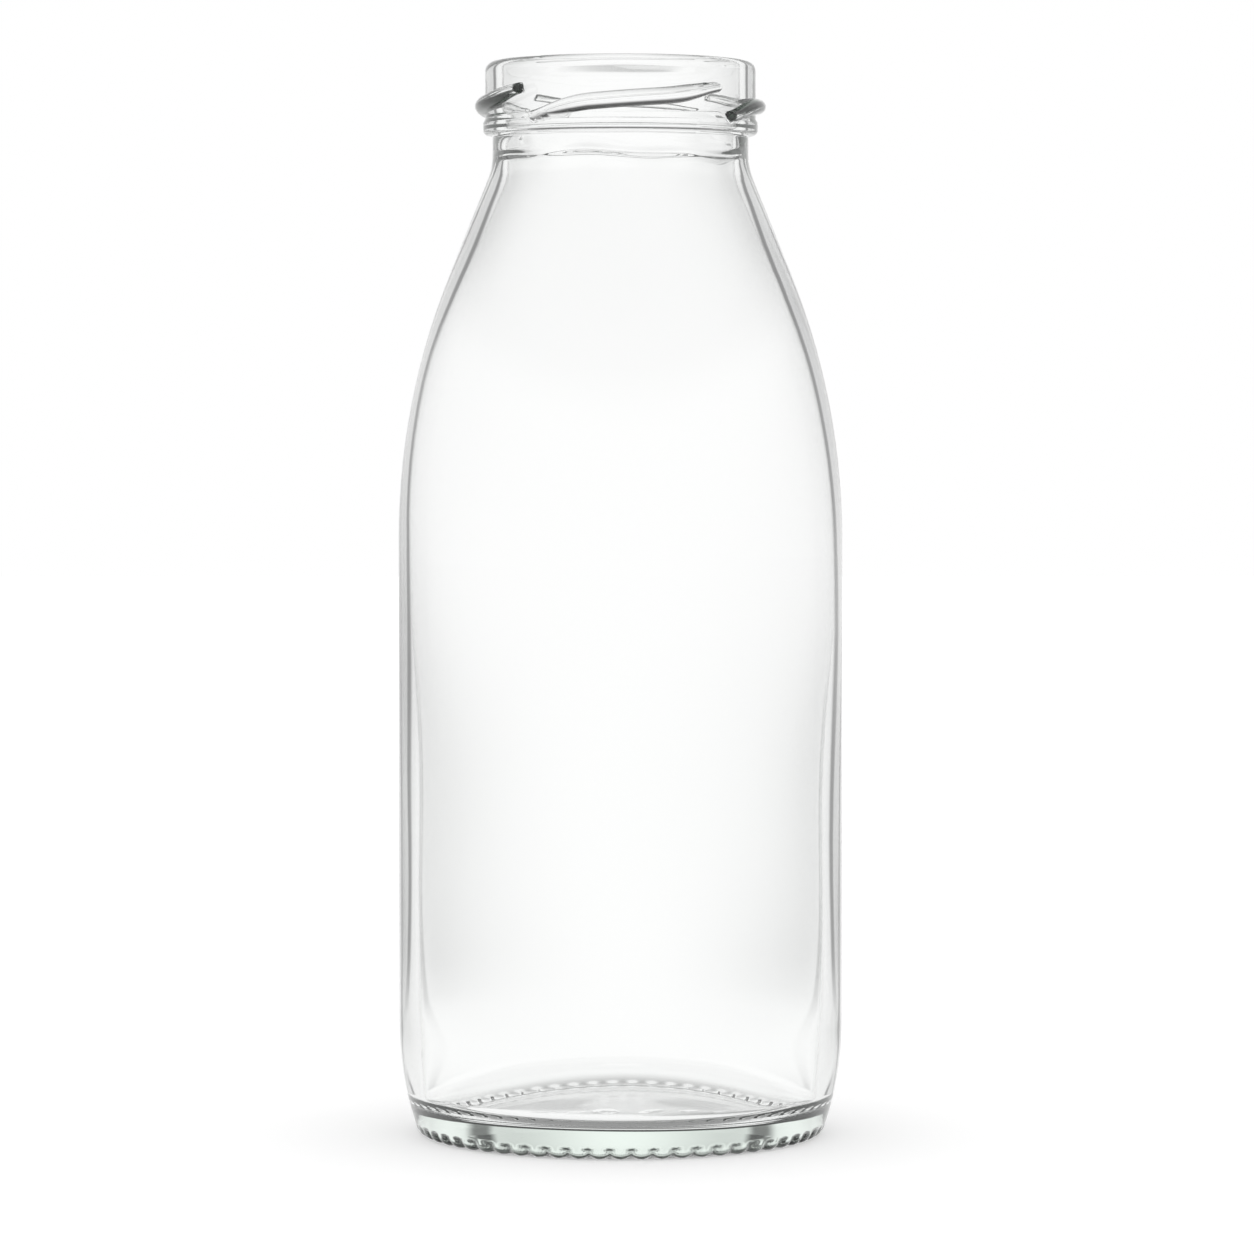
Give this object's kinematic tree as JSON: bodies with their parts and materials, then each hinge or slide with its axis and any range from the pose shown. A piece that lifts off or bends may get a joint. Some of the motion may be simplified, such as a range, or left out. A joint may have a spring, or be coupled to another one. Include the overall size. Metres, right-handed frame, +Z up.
{
  "type": "glass milk bottle",
  "caption": "Clear glass milk bottle: straight round body, long sloping shoulder, short neck, lug-thread finish for a twist-off cap, knurled bearing ring and hollow push-up base.",
  "frame": {"origin": "centre of the base, on the surface that the bottle stands on", "axes": "+Z up along the bottle's axis, out of the mouth; -Y is the front, +X is to the right"},
  "size_m": [0.0738, 0.0738, 0.178],
  "materials": {
    "glass": "clear moulded glass, faint green where it is thick"
  },
  "bodies": {
    "root": {"base": "glass", "body_wall": "glass", "shoulder": "glass", "neck": "glass", "transfer_bead": "glass", "finish_wall": "glass", "thread_lugs": "glass"}
  },
  "joints": []
}
